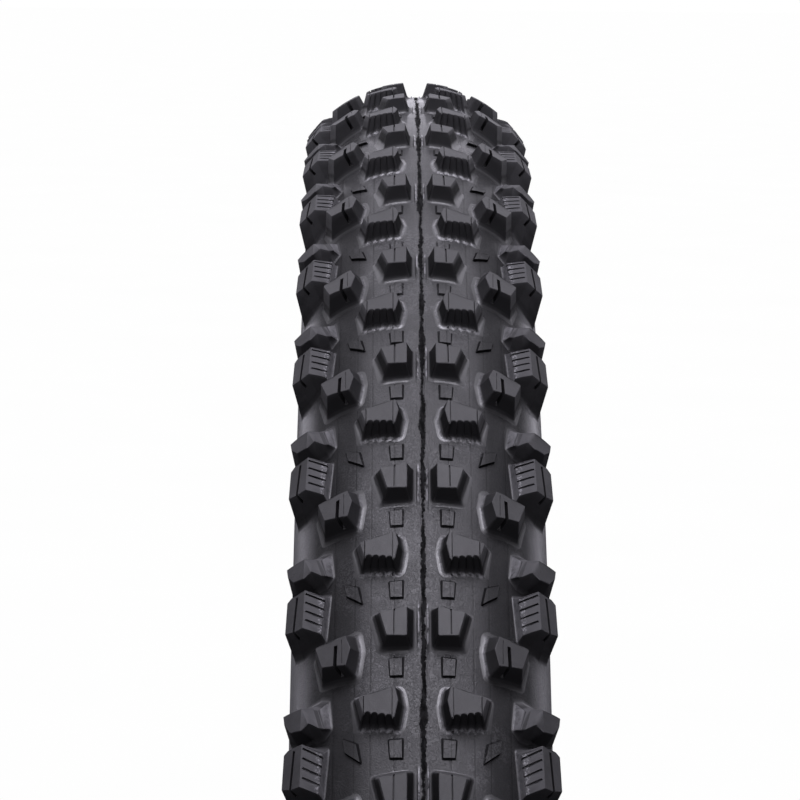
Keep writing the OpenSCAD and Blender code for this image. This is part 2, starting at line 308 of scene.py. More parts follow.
def carved(body, cutters):
    """The body with the cutters taken out, as exact booleans."""
    mid = body[0].mean(0)
    objs = [placed(name, filled_mesh(name, v - mid, *flattened(f)))
            for name, (v, f) in (("carve_body", body), ("carve_tool", joined(cutters)))]
    mod = objs[0].modifiers.new("cut", "BOOLEAN")
    mod.operation = "DIFFERENCE"
    mod.solver = "EXACT"
    mod.use_self = True
    mod.object = objs[1]
    result = objs[0].evaluated_get(bpy.context.evaluated_depsgraph_get())
    me = result.to_mesh()
    verts = np.array([v.co for v in me.vertices]) + mid
    faces = [list(p.vertices) for p in me.polygons]
    result.to_mesh_clear()
    for ob in objs:
        me = ob.data
        bpy.data.objects.remove(ob)
        bpy.data.meshes.remove(me)
    return verts, faces


def mirrored(part):
    """The part on the other side of the wheel's middle plane."""
    v, faces = part
    return v * [1, -1, 1], [f[::-1] for f in faces]


def around(*parts):
    """Copies the parts around the wheel, one set a pitch."""
    v, faces = joined(parts)
    flat, sizes = flattened(faces)
    a = np.arange(PITCHES) * PITCH
    c, s = np.cos(a)[:, None], np.sin(a)[:, None]
    x, y, z = v.T
    verts = np.stack([x * c - z * s, np.repeat(y[None], PITCHES, 0), x * s + z * c], -1)
    flat = flat[None] + (np.arange(PITCHES) * len(v))[:, None]
    return verts.reshape(-1, 3), flat.ravel(), np.tile(sizes, PITCHES)


def piece(name, mesh, material, crease=32):
    """A finished piece in the row frame, from millimetre points, in place of the node of the same name."""
    verts, flat, sizes = mesh
    me = filled_mesh(name, np.asarray(verts) * MM, flat, sizes)
    me.polygons.foreach_set("use_smooth", np.ones(len(me.polygons), bool))
    me.set_sharp_from_angle(angle=math.radians(crease))
    me.materials.append(material)
    ob = placed(name, me)
    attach(ob, BODY)
    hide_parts(name)


# ---- Rings ----

# How far the curve from the widest point to the bead runs straight at each end
UPPER_ARM = 12.4
LOWER_ARM = 5.7


def section_point(x):
    """The outside of the section at a station, as [radius, y], and the outward direction there."""
    x = float(x)
    if x <= WIDEST:
        a = math.radians(x)
        out = np.array([math.cos(a), math.sin(a)])
        return np.array([CASING_C, 0]) + CASING_R * out, out
    top = BEAD_R + BEAD_FACE_H
    p = np.array([[CASING_C, CASING_R], [CASING_C - UPPER_ARM, CASING_R],
                  [top + LOWER_ARM, BEAD_FACE_Y], [top, BEAD_FACE_Y]])
    u = (x - WIDEST) / (BEAD_TOP - WIDEST)
    at = (1 - u) ** 3 * p[0] + 3 * u * (1 - u) ** 2 * p[1] + 3 * u * u * (1 - u) * p[2] + u ** 3 * p[3]
    g = (1 - u) ** 2 * (p[1] - p[0]) + 2 * u * (1 - u) * (p[2] - p[1]) + u * u * (p[3] - p[2])
    g = unit(g)
    return at, np.array([g[1], -g[0]])


def lathe(profile, columns, relief=None):
    """A closed profile of [radius, y] turned around the wheel axis. relief(angles, row points) gives each
    point's height along its normal."""
    p = np.array(profile, float)
    n = len(p)
    d = np.roll(p, -1, 0) - np.roll(p, 1, 0)
    normal = unit(np.stack([-d[:, 1], d[:, 0]], -1))
    area = 0.5 * np.sum(p[:, 0] * np.roll(p[:, 1], -1) - np.roll(p[:, 0], -1) * p[:, 1])
    if area > 0:
        normal = -normal
    a = np.arange(columns) / columns * 2 * math.pi
    lift = relief(a[:, None], p[None, :, :]) if relief else np.zeros((columns, n))
    r = p[None, :, 0] + normal[None, :, 0] * lift
    y = p[None, :, 1] + normal[None, :, 1] * lift
    verts = np.stack([r * np.cos(a)[:, None], y, r * np.sin(a)[:, None]], -1).reshape(-1, 3)
    i, j = np.meshgrid(np.arange(columns), np.arange(n), indexing="ij")
    i2, j2 = (i + 1) % columns, (j + 1) % n
    quads = np.stack([i * n + j, i * n + j2, i2 * n + j2, i2 * n + j], -1).reshape(-1, 4)
    if area > 0:
        quads = quads[:, ::-1]
    return verts, quads.ravel(), np.full(len(quads), 4)


def flipped(ring):
    """A turned ring on the other side of the wheel's middle plane."""
    v, flat, sizes = ring
    return v * [1, -1, 1], flat.reshape(-1, 4)[:, ::-1].ravel(), sizes


def wander(a, amount, seed, waves, low, high):
    """A smooth wander that closes around the wheel: sines whose counts around it lie between low and high."""
    r = np.random.default_rng(seed)
    out = np.zeros_like(a)
    for _ in range(waves):
        k = int(r.integers(low, high))
        out += np.sin(k * a + r.uniform(0, 2 * math.pi)) * r.uniform(0.5, 1)
    return amount * (out / math.sqrt(waves))


def ridge(y, centre, half, height):
    """A sharp ridge along the wheel, or a groove where the height is negative."""
    return height * np.clip(1 - np.abs(y - centre) / half, 0, 1) ** 0.8


def ramp(value, start, run):
    return np.clip((value - start) / run, 0, 1)


# The mould's fine lines
LINE_YS = (6.5, 11.9, 15.6, 20.4)
LINE_HALF = 0.16
LINE_DEPTH = 0.05

# The mould's parting seam: a ragged trough with a torn edge of flash in it. The tuples are for wander()
SEAM_Y = 0.3
SEAM_SWAY = (0.35, 3, 7, 20, 160)
SEAM_JITTER = (0.12, 4, 9, 400, 900)
SEAM_HALF = 0.45
SEAM_SWELL = (0.14, 5, 9, 150, 700)
SEAM_DEPTH = 0.32
SEAM_FLARE = 1.25
FLASH_H = 0.42
FLASH_TEAR = (0.2, 6, 11, 300, 900)
FLASH_TOP = 0.6
FLASH_HALF = 0.22
FLASH_SWAY = (0.25, 8, 5, 60, 300)
BANK_HALF = 0.25
BANK_H = 0.1

# The low walls of flash beside the narrow knobs, which run between two turns in pitches
WALL_Y = 1.15
WALL_SHIFT = 0.15
WALL_HALF = 0.32
WALL_H = 0.5
WALL_TURNS = (0.48, 0.75)
WALL_RUN = 0.02


def outer_face(p):
    return np.hypot(p[..., 0] - CASING_C, p[..., 1]) > CASING_R - SIDE_T / 2


def line_relief(a, p, sides=(1,)):
    """The mould's fine lines, as shallow grooves."""
    lift = np.zeros(np.broadcast(a, p[..., 1]).shape)
    for line in LINE_YS:
        for side in sides:
            lift += ridge(p[..., 1], side * line, LINE_HALF, -LINE_DEPTH)
    return np.where(outer_face(p), lift, 0)


def crown_relief(a, p):
    """The parting seam, the walls of flash beside the narrow knobs, and the fine lines."""
    y = p[..., 1]
    middle = SEAM_Y + wander(a, *SEAM_SWAY) + wander(a, *SEAM_JITTER)
    half = SEAM_HALF + wander(a, *SEAM_SWELL)
    lift = -SEAM_DEPTH * np.clip(SEAM_FLARE - np.abs(y - middle) / half, 0, 1)
    flash = FLASH_H + wander(a, *FLASH_TEAR)
    off = np.abs(y - middle + wander(a, *FLASH_SWAY))
    lift += np.clip(1 - off / FLASH_HALF, 0, 1) * np.clip(flash, 0, FLASH_TOP)
    turn = (a / PITCH) % 1
    beside = ramp(turn, WALL_TURNS[0], WALL_RUN) * ramp(-turn, -WALL_TURNS[1], WALL_RUN)
    for side in (-1, 1):
        lift += ridge(y, middle + side * (half + BANK_HALF), BANK_HALF, BANK_H)
        lift += beside * ridge(y, side * WALL_Y + WALL_SHIFT, WALL_HALF, WALL_H)
    return np.where(outer_face(p), lift, 0) + line_relief(a, p, (-1, 1))


ROW_STEP = 1.6
INNER_ROWS = 9
THIN_FROM = 50


def cap_profile(first, last, fine):
    """A strip of tread skin between two stations, with extra rows at the listed lateral distances. The skin
    thins from the cap's thickness to the sidewall's on its way to the tread's edge."""
    count = int(round((last - first) / ROW_STEP)) + 1
    stations = list(np.linspace(first, last, count))
    stations += [station_at(y) for y in fine if first < station_at(y) < last]
    rows = []
    for x in sorted(set(np.round(stations, 4))):
        p, _ = section_point(abs(x))
        rows.append([p[0], math.copysign(p[1], x)])
    for x in np.linspace(last, first, INNER_ROWS):
        p, q = section_point(abs(x))
        thinned = ramp(abs(x), THIN_FROM, TREAD_EDGE - THIN_FROM)
        v = p - (CAP_T + (SIDE_T - CAP_T) * thinned) * q
        rows.append([v[0], math.copysign(v[1], x)])
    return rows


# ---- Materials ----

# Painted shade on the steep walls of the tread skin
WALL_SHADE_TONE = 0.022
# Painted shade in the cuts, on the inner walls of the slot and around the pads
DEEP_SHADE_TONE = 0.011
# Painted shade in the mould's fine lines
LINE_SHADE_TONE = 0.0088
SKIN_TONE = 0.034
# Painted shade on the flanks beside the crown
FLANK_SHADE_TONE = 0.011
# Painted reflection: pale skin below the shoulder knobs, standing in for the bright backdrop seen edge-on
CHEEK_REFLECTION_TONE = 0.115
# Painted highlights on the feet that face the seam, stronger inside the shoulder knobs
SEAM_SIDE_HIGHLIGHT_TONE = 0.11
INNER_HIGHLIGHT_TONE = 0.209
# Painted highlight on the bevelled top edges
EDGE_HIGHLIGHT_TONE = 0.07
# Painted highlights, ragged by noise, on the wide knobs' front feet and the ribs' inner edges
BLOOM_TONE = 0.10
RAGGED_HIGHLIGHT_TONE = 0.2
# Painted highlights on the seam's torn flash and slivers
FLASH_HIGHLIGHT_TONE = 0.24
# Painted shade in the seam's trough, shallow and deep
SEAM_SHADE_TONES = (0.018, 0.003)

# Bands of lateral distance from the middle plane, in metres
SEAM_STRIP = (0.0028, 0.0036)
CROWN_EDGE = (0.0105, 0.0175)
BLOOM_EDGE = (0.011, 0.020)
SLOT_INNER = (0.0182, 0.0192)
SLOT_KNOB = (0.0190, 0.0215)
SLOT_TO_SHOULDER = (0.0200, 0.0240)
SHOULDER_INNER = (0.0225, 0.0245)
RIB_HIGHLIGHT_INNER = (0.0223, 0.0228)
RIB_HIGHLIGHT_OUTER = (0.0238, 0.0246)
FLANK_EDGE = (0.0240, 0.0290)
CHEEK_BAND = (0.0245, 0.0298)


def grey(v):
    """A faintly blue grey."""
    return (v, v * 0.99, v * 1.03, 1)


class Nodes:
    """A node material, with a short name for each kind of node used here. The coordinates are in metres."""

    def __init__(self, name):
        self.mat = bpy.data.materials.new(name)
        self.mat.use_nodes = True
        self.tree = self.mat.node_tree
        self.tree.nodes.clear()
        self.out = self.add("OutputMaterial")
        self.bsdf = self.add("BsdfPrincipled")
        self.link(self.bsdf.outputs[0], self.out.inputs[0])
        self.coord = self.add("TexCoord").outputs["Object"]

    def add(self, kind, **props):
        node = self.tree.nodes.new("ShaderNode" + kind)
        for key, value in props.items():
            setattr(node, key, value)
        return node

    def link(self, a, b):
        self.tree.links.new(a, b)

    def feed(self, socket, value):
        if isinstance(value, bpy.types.NodeSocket):
            self.link(value, socket)
        else:
            socket.default_value = value

    def math(self, op, a, b=0.0):
        node = self.add("Math", operation=op)
        self.feed(node.inputs[0], a)
        self.feed(node.inputs[1], b)
        return node.outputs[0]

    def times(self, first, *rest):
        for value in rest:
            first = self.math("MULTIPLY", first, value)
        return first

    def plus(self, a, b):
        return self.math("ADD", a, b)

    def minus(self, a, b):
        return self.math("SUBTRACT", a, b)

    def over(self, a, b):
        return self.math("DIVIDE", a, b)

    def absolute(self, a):
        return self.math("ABSOLUTE", a)

    def hypot(self, a, b):
        return self.math("SQRT", self.plus(self.times(a, a), self.times(b, b)))

    def noise(self, scale, detail, rough, vector=None, distortion=0.0):
        node = self.add("TexNoise")
        self.feed(node.inputs["Vector"], self.coord if vector is None else vector)
        node.inputs["Scale"].default_value = scale
        node.inputs["Detail"].default_value = detail
        node.inputs["Roughness"].default_value = rough
        node.inputs["Distortion"].default_value = distortion
        return node.outputs["Fac"]

    def cells(self, scale):
        node = self.add("TexVoronoi", feature="F1")
        self.feed(node.inputs["Vector"], self.coord)
        node.inputs["Scale"].default_value = scale
        return node.outputs["Distance"]

    def band(self, value, low, high, to_low=0.0, to_high=1.0):
        """A smooth step: to_low below the two values and to_high above them."""
        node = self.add("MapRange", interpolation_type="SMOOTHSTEP")
        for socket, v in zip(node.inputs, (value, low, high, to_low, to_high)):
            self.feed(socket, v)
        return node.outputs[0]

    def below(self, value, low, high):
        """1 below the two values and 0 above them."""
        return self.band(value, low, high, 1, 0)

    def mix(self, fac, a, b):
        node = self.add("Mix", data_type="RGBA")
        self.feed(node.inputs[0], fac)
        self.feed(node.inputs[6], a)
        self.feed(node.inputs[7], b)
        return node.outputs[2]

    def bump(self, height, distance, strength=1.0, normal=None):
        node = self.add("Bump")
        node.inputs["Distance"].default_value = distance
        node.inputs["Strength"].default_value = strength
        self.feed(node.inputs["Height"], height)
        if normal is not None:
            self.link(normal, node.inputs["Normal"])
        return node.outputs[0]

    def split(self, vector=None):
        node = self.add("SeparateXYZ")
        self.link(self.coord if vector is None else vector, node.inputs[0])
        return node.outputs

    def vector(self, x, y=0.0, z=0.0):
        node = self.add("CombineXYZ")
        for socket, v in zip(node.inputs, (x, y, z)):
            self.feed(socket, v)
        return node.outputs[0]

    def wheel(self):
        """Angle around the wheel, radius and lateral y."""
        x, y, z = self.split()
        return self.math("ARCTAN2", z, x), self.hypot(x, z), y

    def drawn_lines(self, along, across, detail=3, rough=0.6):
        """Noise drawn out around the wheel."""
        angle, radius, y = self.wheel()
        vector = self.vector(self.times(angle, along), self.times(y, across), self.times(radius, across))
        return self.noise(1.0, detail, rough, vector=vector)

    def set(self, **values):
        names = {"color": "Base Color", "rough": "Roughness", "normal": "Normal", "metal": "Metallic",
                 "specular": "Specular IOR Level", "coat": "Coat Weight", "coat_rough": "Coat Roughness"}
        for key, value in values.items():
            self.feed(self.bsdf.inputs[names[key]], value)
        return self.mat


class Rubber(Nodes):
    """Moulded rubber: a fine grain, cloudy bloom in colour and gloss, and small bright crumbs of flash. The
    methods below add to its colour, gloss, shine, coat and normal in turn."""

    def __init__(self, name, tones, rough, specular=0.5, grain=2600.0, grain_depth=0.00004, streak=0.0):
        super().__init__(name)
        dark, light = tones
        self.cloud = self.noise(95, 4, 0.55)
        self.patch = self.noise(420, 3, 0.6, distortion=0.6)
        mixed = self.plus(self.times(self.cloud, 0.55), self.times(self.patch, 0.45))
        self.colour = self.mix(self.band(mixed, 0.36, 0.64), grey(dark), grey(light))
        self.rough = self.plus(self.times(self.minus(self.patch, 0.5), 0.22), rough)
        self.specular = self.shine = specular
        self.coat = 0.0
        self.normal = self.bump(self.noise(grain, 2, 0.6), grain_depth)
        self.raise_by(self.patch, 0.00012, 0.6)
        if streak:
            lines = self.drawn_lines(9, 1700)
            self.raise_by(lines, streak, 0.8)
            self.rough = self.plus(self.rough, self.times(self.minus(lines, 0.5), 0.12))
        spots = self.below(self.cells(900), 0.10, 0.16)
        crumbs = self.times(spots, self.band(self.noise(150, 2, 0.5), 0.58, 0.66))
        self.raise_by(crumbs, 0.00018, 0.7)
        self.paint(self.times(crumbs, 0.35), light * 2.2)

    def paint(self, mask, tone):
        self.colour = self.mix(mask, self.colour, grey(tone) if isinstance(tone, float) else tone)

    def roughen(self, mask, amount):
        self.rough = self.plus(self.rough, self.times(mask, amount))

    def add_shine(self, mask, amount):
        self.shine = self.plus(self.shine, self.times(mask, amount))

    def raise_by(self, height, distance, strength):
        self.normal = self.bump(height, distance, strength, self.normal)

    def find_place(self):
        """How squarely the surface faces out of the casing, how far it leans to the seam and along the
        wheel, its height over the casing in mm, and its distance from the middle plane."""
        x, y, z = self.split()
        normal = self.add("NewGeometry").outputs["Normal"]
        radius = self.hypot(x, z)
        over = self.minus(radius, CASING_C * MM)
        reach = self.hypot(over, y)
        part = self.over(over, self.times(reach, radius))
        dot = self.add("VectorMath", operation="DOT_PRODUCT")
        self.link(normal, dot.inputs[0])
        self.link(self.vector(self.times(x, part), self.over(y, reach), self.times(z, part)), dot.inputs[1])
        self.facing = dot.outputs["Value"]
        nx, ny, nz = self.split(normal)
        self.lean = self.times(ny, self.math("SIGN", y), -1.0)
        self.height = self.over(self.minus(reach, CASING_R * MM), MM)
        along = self.minus(self.times(nz, self.over(x, radius)), self.times(nx, self.over(z, radius)))
        self.ahead = self.absolute(along)
        self.off = self.absolute(y)
        self.wall = self.below(self.facing, 0.6, 0.9)
        self.flank = self.times(self.band(self.off, *CROWN_EDGE), self.below(self.off, *FLANK_EDGE))

    def shaded_knob_walls(self, front, side):
        """Painted shade on walls, darkest in the cuts. The feet run out into the tread skin and take its
        look.
        """
        # Painted shade: cuts darkest, side walls darker than front walls, lighter on the seam-side fillets
        cut = self.times(self.band(self.height, 0.9, 1.2), self.below(self.height, 2.3, 2.6))
        self.paint(cut, DEEP_SHADE_TONE)
        self.foot = self.times(self.below(self.height, 0.3, 1.0), self.band(self.facing, 0.8, 0.97))
        hollow = self.times(self.below(self.height, 1.0, 2.0), self.band(self.facing, 0.2, 0.55))
        hollow = self.times(hollow, self.band(self.off, *SEAM_STRIP))
        side_wall_shade = self.mix(self.band(self.off, *SLOT_INNER), grey(side), grey(DEEP_SHADE_TONE))
        tone = self.mix(self.band(self.ahead, 0.3, 0.8), side_wall_shade, grey(front))
        self.paint(self.times(self.wall, self.minus(1.0, self.times(hollow, 0.6))), tone)
        self.paint(self.foot, SKIN_TONE)
        self.flank = self.times(self.flank, self.foot)
        self.roughen(hollow, -0.2)
        self.add_shine(self.wall, 0.03 - self.specular)
        self.add_shine(hollow, 0.3)

    def painted_seam_side_highlight(self):
        """A painted highlight: pale colour on the feet that face the seam, stronger inside the shoulder
        knobs.
        """
        steep = self.minus(self.lean, self.times(self.band(self.off, *SLOT_KNOB), 0.55))
        broken = self.noise(650, 3, 0.7, distortion=1.0)
        least = self.band(self.off, *SLOT_TO_SHOULDER, 0.2, 1)
        pale = self.times(self.band(self.lean, 0.0, 0.34), self.below(steep, 0.46, 0.72),
                        self.below(self.height, 2.3, 3.1), self.below(self.ahead, 0.3, 0.6),
                        self.band(self.off, *SEAM_STRIP), self.band(self.facing, 0.9, 0.98, 1, 0.2),
                        self.band(broken, 0.34, 0.58, least, 1))
        self.paint(pale, self.mix(self.patch, grey(SEAM_SIDE_HIGHLIGHT_TONE * 0.5), grey(SEAM_SIDE_HIGHLIGHT_TONE * 1.5)))
        self.paint(self.times(pale, self.band(self.off, *SHOULDER_INNER)), INNER_HIGHLIGHT_TONE)
        self.roughen(pale, -0.1)

    def painted_edge_highlight(self):
        # Painted highlight: the bevels along the top edges are lightened
        edge = self.times(self.band(self.facing, 0.5, 0.62), self.below(self.facing, 0.82, 0.9))
        self.paint(self.times(edge, self.band(self.height, 2.0, 2.6), 0.8), EDGE_HIGHLIGHT_TONE)

    def painted_foot_highlight(self):
        """A ragged painted highlight along the foot of the front wall."""
        torn = self.times(self.below(self.height, 0.1, 0.6), self.band(self.ahead, 0.12, 0.3))
        noise = self.noise(1100, 3, 0.7, distortion=0.8)
        self.paint(self.times(torn, self.band(noise, 0.42, 0.56)), RAGGED_HIGHLIGHT_TONE)

    def painted_rib_highlight(self):
        """A ragged painted highlight along the inner edge of the ribs."""
        rib_edge_zone = self.times(self.band(self.off, *RIB_HIGHLIGHT_INNER), self.below(self.off, *RIB_HIGHLIGHT_OUTER))
        top = self.times(self.band(self.height, 2.5, 2.7), self.band(self.facing, 0.5, 0.7))
        self.paint(self.times(rib_edge_zone, top, self.band(self.noise(1900, 3, 0.7), 0.51, 0.6)), RAGGED_HIGHLIGHT_TONE)

    def shaded_pad_rim(self):
        # Painted shade: a dark, less shiny ring around the foot of each pad
        rim = self.math("MAXIMUM", self.below(self.height, 0.16, 0.32), self.below(self.facing, 0.86, 0.96))
        self.paint(rim, DEEP_SHADE_TONE)
        self.add_shine(rim, -0.4)

    def painted_flank_shade_and_cheek_reflection(self, cheek):
        """Painted shade on the dull flanks beside the crown, and a painted reflection: pale skin below the
        shoulder knobs.
        """
        # Painted shade on the flanks
        self.paint(self.times(self.flank, 0.85), FLANK_SHADE_TONE)
        # Painted reflection on the skin below the shoulder knobs
        self.paint(cheek, CHEEK_REFLECTION_TONE)
        self.roughen(self.flank, 0.2)
        self.add_shine(self.flank, -0.25)

    def speckled_bloom(self):
        bloom = self.band(self.noise(55, 3, 0.6), 0.5, 0.62)
        speck = self.band(self.noise(1300, 3, 0.7, distortion=1.2), 0.46, 0.6)
        bloom = self.times(bloom, speck, self.band(self.off, *BLOOM_EDGE, 1, 0.25))
        self.paint(self.times(bloom, 0.6), BLOOM_TONE)
        self.raise_by(speck, 0.00012, 0.5)

    def mould_line_shade(self):
        # Painted shade along the mould's fine grooves, broken here and there
        x, y, z = self.split()
        off = self.times(self.absolute(y), 1000)
        place = self.vector(self.times(x, 90), self.times(z, 90))
        broken = self.band(self.noise(1.0, 3, 0.6, vector=place), 0.3, 0.5)
        for at in LINE_YS:
            line = self.below(self.absolute(self.minus(off, at)), 0.08, 0.22)
            self.paint(self.times(line, self.times(broken, 0.9)), LINE_SHADE_TONE)

    def backdrop_coat(self):
        """Seen edge-on, the smooth skin picks up the bright backdrop."""
        view = self.add("LayerWeight").outputs["Facing"]
        edge_on = self.band(view, 0.64, 0.96, 0, 0.6)
        self.coat = self.times(edge_on, self.band(self.cloud, 0.35, 0.6, 0.7, 1.2))

    def shaded_seam_and_flash_highlights(self):
        """The parting seam: painted shade in its ragged trough; painted highlights on torn flash and slivers
        by narrow knobs.
        """
        angle, _, y = self.wheel()
        y = self.times(y, 1000)

        def noise_around(detail, rough, along, across=0.0, start=0.0):
            vector = self.vector(self.times(angle, along), across, start)
            return self.noise(1.0, detail, rough, vector=vector)

        sway = noise_around(3, 0.6, 60)
        edge = noise_around(5, 0.75, 420, self.times(y, 0.9))
        off = self.absolute(self.minus(y, self.plus(-0.6, self.times(sway, 1.7))))
        swell = noise_around(2, 0.5, 25, 3.0)
        reach = self.plus(self.minus(self.times(swell, 2.2), 0.6), self.times(self.minus(edge, 0.5), 2.0))
        mask = self.band(self.minus(reach, off), -0.06, 0.1)
        depth = noise_around(3, 0.6, 110, self.times(y, 0.6), 5.0)
        shallow, deep = SEAM_SHADE_TONES
        # Painted shade in the trough, darker where the noise makes it deeper
        self.paint(mask, self.mix(self.band(depth, 0.38, 0.6), grey(shallow), grey(deep)))
        self.coat = self.times(self.coat, self.minus(1.0, mask))
        self.roughen(mask, 0.3)
        self.add_shine(mask, -0.38)
        rag = noise_around(4, 0.8, 900, self.times(y, 2.6))
        torn = self.times(self.band(rag, 0.62, 0.68), self.band(off, 0.3, 0.7), self.below(off, 1.0, 1.4))
        turn = self.math("FRACT", self.plus(self.over(angle, PITCH), float(PITCHES)))
        beside = self.times(self.band(turn, 0.47, 0.5), self.below(turn, 0.74, 0.78))
        sliver_highlight = self.below(self.absolute(self.minus(self.absolute(self.minus(y, 0.2)), 1.05)), 0.1, 0.3)
        tears = noise_around(4, 0.7, 130, self.times(y, 0.5))
        sliver_highlight = self.times(sliver_highlight, beside, self.band(tears, 0.42, 0.54))
        # Painted highlights: pale torn flash in the trough and slivers beside the narrow knobs
        self.paint(self.math("MAXIMUM", self.times(torn, 0.8), sliver_highlight), FLASH_HIGHLIGHT_TONE)
        self.raise_by(self.times(rag, mask), 0.0005, 1.0)

    def finished(self):
        return self.set(color=self.colour, rough=self.rough, normal=self.normal, specular=self.shine,
                        coat=self.coat, coat_rough=0.18)


def skin_rubber(name, tones, streak=0.0, seam=False, pad=False):
    """The tread's skin, dull on its flanks and lined by the mould, with painted shade on its walls, flanks
    and lines.
    """
    rubber = Rubber(name, tones, 0.5, 0.45, streak=streak)
    rubber.find_place()
    # Painted shade: the skin's steep walls are darkened
    rubber.paint(rubber.wall, WALL_SHADE_TONE)
    if pad:
        rubber.shaded_pad_rim()
    rubber.painted_flank_shade_and_cheek_reflection(rubber.band(rubber.off, *CHEEK_BAND))
    rubber.speckled_bloom()
    rubber.mould_line_shade()
    rubber.backdrop_coat()
    if seam:
        rubber.shaded_seam_and_flash_highlights()
    return rubber.finished()


def knob_rubber(name, tones, front, side=0.011, extra_highlight=None, rough=0.55, specular=0.4, grain=3600.0,
                grain_depth=0.00003):
    """A knob. front and side are the painted shade tones of its walls; an extra method may paint its own
    highlight.
    """
    rubber = Rubber(name, tones, rough, specular, grain, grain_depth)
    rubber.find_place()
    rubber.shaded_knob_walls(front, side)
    rubber.painted_seam_side_highlight()
    rubber.painted_edge_highlight()
    if extra_highlight:
        extra_highlight(rubber)
    rubber.painted_flank_shade_and_cheek_reflection(rubber.times(rubber.band(rubber.off, *CHEEK_BAND), rubber.foot))
    return rubber.finished()


def shoulder_rubber(name, extra_highlight=None):
    """A duller knob rubber."""
    return knob_rubber(name, (0.026, 0.039), 0.054, extra_highlight=extra_highlight, rough=0.62, specular=0.15, grain=3200.0,
                       grain_depth=0.00004)


def sidewall_rubber():
    rubber = Rubber("sidewall_rubber", (0.085, 0.100), 0.38, streak=0.00008)
    rubber.backdrop_coat()
    return rubber.finished()


def fabric(name, dark, light, bias, pitch=0.0011):
    """Rubbered cord cloth: parallel cords, bias degrees from the wheel's direction, crossed by fine weft."""
    n = Nodes(name)
    angle, radius, y = n.wheel()
    around_m = n.times(angle, 0.35)
    across = n.plus(y, n.times(radius, 0.8))
    c, s = math.cos(math.radians(bias)), math.sin(math.radians(bias))
    u = n.minus(n.times(around_m, s), n.times(across, c))
    v = n.plus(n.times(around_m, c), n.times(across, s))
    cord = n.absolute(n.math("SINE", n.times(u, math.pi / pitch)))
    weft = n.absolute(n.math("SINE", n.times(v, math.pi / (pitch * 3))))
    height = n.plus(n.times(cord, 0.8), n.times(weft, 0.2))
    fray = n.noise(900, 3, 0.6)
    colour = n.mix(n.band(n.plus(n.times(height, 0.8), n.times(fray, 0.3)), 0.2, 0.95), dark, light)
    return n.set(color=colour, rough=0.85, normal=n.bump(height, 0.00025), specular=0.2)


def drawn_wire(name):
    """Bronze-coated steel wire, with die lines along it."""
    n = Nodes(name)
    lines = n.drawn_lines(20, 9000)
    colour = n.mix(n.band(n.noise(300, 3, 0.6), 0.35, 0.7), (0.45, 0.30, 0.13, 1), (0.62, 0.47, 0.26, 1))
    rough = n.plus(n.times(lines, 0.25), 0.22)
    return n.set(color=colour, rough=rough, metal=1.0, normal=n.bump(lines, 0.00003))


M_BASE = skin_rubber("tread_base_rubber", (0.029, 0.044), streak=0.00006)
M_CROWN = skin_rubber("tread_crown_rubber", (0.026, 0.037), streak=0.00004, seam=True)
M_PAD = skin_rubber("tread_base_rubber_pads", (0.026, 0.037), pad=True)
M_NARROW = knob_rubber("knob_rubber", (0.028, 0.037), front=0.037)
M_SLOTTED = knob_rubber("slotted_knob_rubber", (0.025, 0.034), front=0.036, side=0.027)
M_WIDE = knob_rubber("wide_knob_rubber", (0.028, 0.037), front=0.037, extra_highlight=Rubber.painted_foot_highlight)
M_CHEVRON = shoulder_rubber("shoulder_knob_rubber")
M_RIBBED = shoulder_rubber("ribbed_knob_rubber", extra_highlight=Rubber.painted_rib_highlight)
M_SIDE = sidewall_rubber()
M_CHAFER = Rubber("chafer_rubber", (0.024, 0.032), 0.5, grain=3000.0).finished()
M_HARD = Rubber("hard_rubber", (0.020, 0.028), 0.6, grain=1800.0).finished()
M_LINER = Rubber("butyl_liner", (0.022, 0.030), 0.33, grain=1500.0, streak=0.00003).finished()
M_PLY = fabric("casing_fabric", (0.10, 0.085, 0.06, 1), (0.34, 0.29, 0.21, 1), 45)
M_BELT = fabric("belt_fabric", (0.05, 0.05, 0.055, 1), (0.24, 0.24, 0.26, 1), 30, 0.0008)
M_WIRE = drawn_wire("bead_wire")

# ---- Tread skin, sidewalls and chafers ----

SMOOTH = 50


def ring_pair(name, ring, material, crease=SMOOTH):
    piece(name + "_left", ring, material, crease)
    piece(name + "_right", flipped(ring), material, crease)


def line_rows(sides):
    """Rows at the middle and both edges of each fine line."""
    return [side * (y + d) for y in LINE_YS for side in sides for d in (-LINE_HALF, 0, LINE_HALF)]


SEAM_ROWS = list(np.arange(-2.0, 2.41, 0.16))
crown_profile = cap_profile(-CENTRE_CAP_END, CENTRE_CAP_END, SEAM_ROWS + line_rows((-1, 1)))
crown = lathe(crown_profile, PITCHES * 20, crown_relief)
piece("tread_center_cap", crown, M_CROWN, SMOOTH)
shoulder = lathe(cap_profile(CENTRE_CAP_END, TREAD_EDGE, line_rows((1,))), PITCHES * 16, line_relief)
ring_pair("tread_shoulder_cap", shoulder, M_BASE)

# The sidewall's raised lines, as a station, half a width in stations and a height
RIM_LINE = (160, 2.2, 0.35)
CHECK_LINES = ((151, 1.2, 0.2), (147, 1.2, 0.2))
SHOULDER_LINES = ((96, 1.2, 0.16), (100, 1.2, 0.16))


def sidewall_profile():
    out = []
    for x in np.arange(TREAD_EDGE, CHAFER_TOP + 0.01, 1.0):
        p, q = section_point(x)
        lift = 0.0
        for at, half, height in (RIM_LINE, *CHECK_LINES, *SHOULDER_LINES):
            lift += height * max(0.0, 1 - abs(x - at) / half) ** 0.7
        out.append(p + q * lift)
    for x in np.arange(CHAFER_TOP, TREAD_EDGE - 0.1, -5.0):
        p, q = section_point(x)
        out.append(p - q * SIDE_T)
    return out


